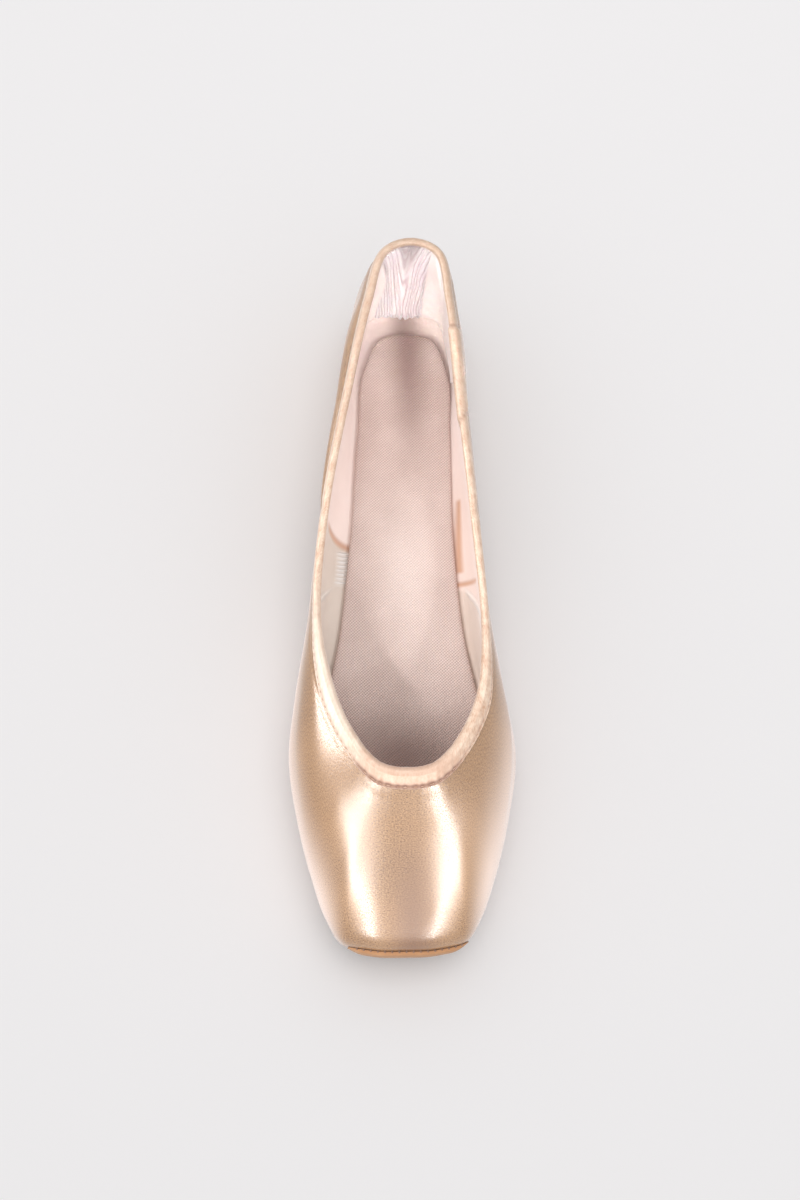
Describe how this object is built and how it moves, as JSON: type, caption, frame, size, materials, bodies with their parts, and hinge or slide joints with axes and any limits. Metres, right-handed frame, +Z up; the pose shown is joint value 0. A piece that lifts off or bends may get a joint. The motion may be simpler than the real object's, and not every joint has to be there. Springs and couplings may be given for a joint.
{
  "type": "pointe shoe",
  "caption": "Satin pointe shoe standing empty on its sole, with a blocked toe box, flat suede-tipped platform, bound drawstring collar and narrow leather sole",
  "frame": {"origin": "on the floor, under the middle of the shoe's bounding box", "axes": "+Z is up, -Y points to the toe and +Y to the heel, and X runs across the shoe"},
  "size_m": [0.0754, 0.235, 0.0588],
  "materials": {
    "upper": "champagne satin over a stiffened toe box",
    "binding": "apricot satin casing, stitched",
    "toe_patch": "apricot suede",
    "outsole": "plain tan sole leather",
    "insole": "pinkish beige cloth over foam",
    "heel_grip": "pale gathered lining cloth"
  },
  "bodies": {
    "root": {"upper": "upper", "binding": "binding", "toe_patch": "toe_patch", "outsole": "outsole", "insole": "insole", "heel_grip": "heel_grip"}
  },
  "joints": []
}
